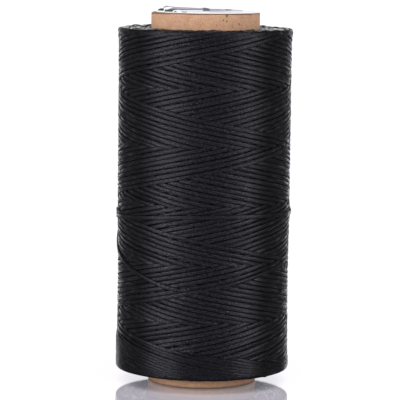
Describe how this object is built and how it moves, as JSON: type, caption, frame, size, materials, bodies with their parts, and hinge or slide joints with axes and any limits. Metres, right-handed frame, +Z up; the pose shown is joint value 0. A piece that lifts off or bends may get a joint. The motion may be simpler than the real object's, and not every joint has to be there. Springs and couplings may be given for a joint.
{
  "type": "waxed thread spool",
  "caption": "Spool of flat waxed thread, cross-wound on a paper tube that a paper label closes at its top end, for hand sewing leather.",
  "frame": {"origin": "centre of the tube's bottom rim, on the surface the spool stands on", "axes": "+Z up along the tube, towards the label; -Y towards the viewer; +X to the viewer's right"},
  "size_m": [0.0569, 0.056, 0.1202],
  "materials": {
    "kraft_liner": "matte",
    "tube_board": "matte",
    "kraft_wrap": "matte",
    "label_paper": "satin",
    "inner_thread": "waxed",
    "outer_thread": "waxed"
  },
  "bodies": {
    "root": {"tube_liner": "kraft_liner", "board_ply_1": "tube_board", "board_ply_2": "tube_board", "board_ply_3": "tube_board", "tube_wrap": "kraft_wrap", "top_label": "label_paper", "thread_core": "inner_thread", "thread_winding": "outer_thread"}
  },
  "joints": []
}
